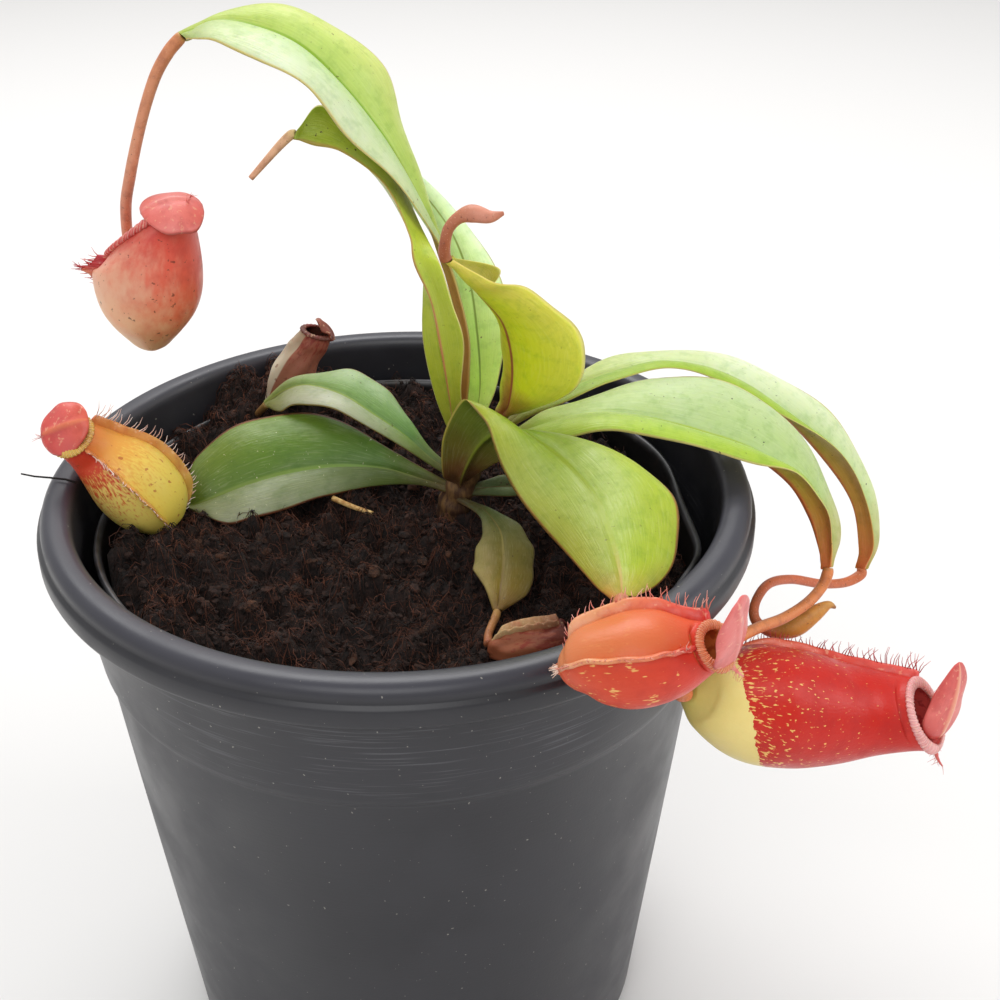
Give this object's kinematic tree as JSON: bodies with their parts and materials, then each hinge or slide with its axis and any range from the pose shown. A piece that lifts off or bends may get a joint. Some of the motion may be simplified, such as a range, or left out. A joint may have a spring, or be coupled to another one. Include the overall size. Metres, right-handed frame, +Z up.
{
  "type": "potted pitcher plant",
  "caption": "Tropical pitcher plant in a nested plastic pot: strap leaves on a short stem, with curled tendrils that end in hanging lidded pitchers.",
  "frame": {"origin": "middle of the outer pot's base, on the surface that it stands on", "axes": "+Z up along the pot's axis; +X to the side of the large red pitcher; -Y to the side of the pitcher that hangs over the rim"},
  "size_m": [0.156, 0.1252, 0.1813],
  "materials": {
    "pot_plastic": "satin dark grey moulded plastic",
    "liner_plastic": "thin satin black plastic",
    "potting_mix": "damp coir fibre and bark",
    "straw": "dry stalk",
    "stem_skin": "green-brown stem",
    "leaf_light_green": "smooth waxy leaf",
    "leaf_yellow_green": "young waxy leaf",
    "leaf_dark_green": "older waxy leaf",
    "leaf_olive": "fading leaf",
    "tendril_orange": "smooth tendril",
    "pitcher_red": "smooth red pitcher wall",
    "pitcher_orange": "mottled orange pitcher wall",
    "pitcher_dried": "dry papery pitcher"
  },
  "bodies": {
    "root": {"leaf_back_left": "leaf_dark_green", "leaf_far_right": "leaf_light_green", "leaf_front": "leaf_light_green", "leaf_left_low": "leaf_dark_green", "leaf_rear": "leaf_light_green", "leaf_right": "leaf_light_green", "leaf_shaded": "leaf_dark_green", "leaf_tall": "leaf_light_green", "leaf_upright": "leaf_light_green", "leaf_withered": "leaf_olive", "leaf_young": "leaf_yellow_green", "liner_pot": "liner_plastic", "outer_pot": "pot_plastic", "pitcher_back_left": "pitcher_dried", "pitcher_front": "pitcher_red", "pitcher_left": "pitcher_orange", "pitcher_right": "pitcher_red", "pitcher_tall": "pitcher_orange", "pitcher_withered": "pitcher_dried", "potting_mix": "potting_mix", "stem": "stem_skin", "straw": "straw", "tendril_back_left": "tendril_orange", "tendril_far_right": "tendril_orange", "tendril_front": "tendril_orange", "tendril_left_low": "tendril_orange", "tendril_rear": "tendril_orange", "tendril_right": "tendril_orange", "tendril_tall": "tendril_orange", "tendril_upright": "tendril_orange", "tendril_withered": "tendril_orange", "tendril_young": "tendril_orange"}
  },
  "joints": []
}
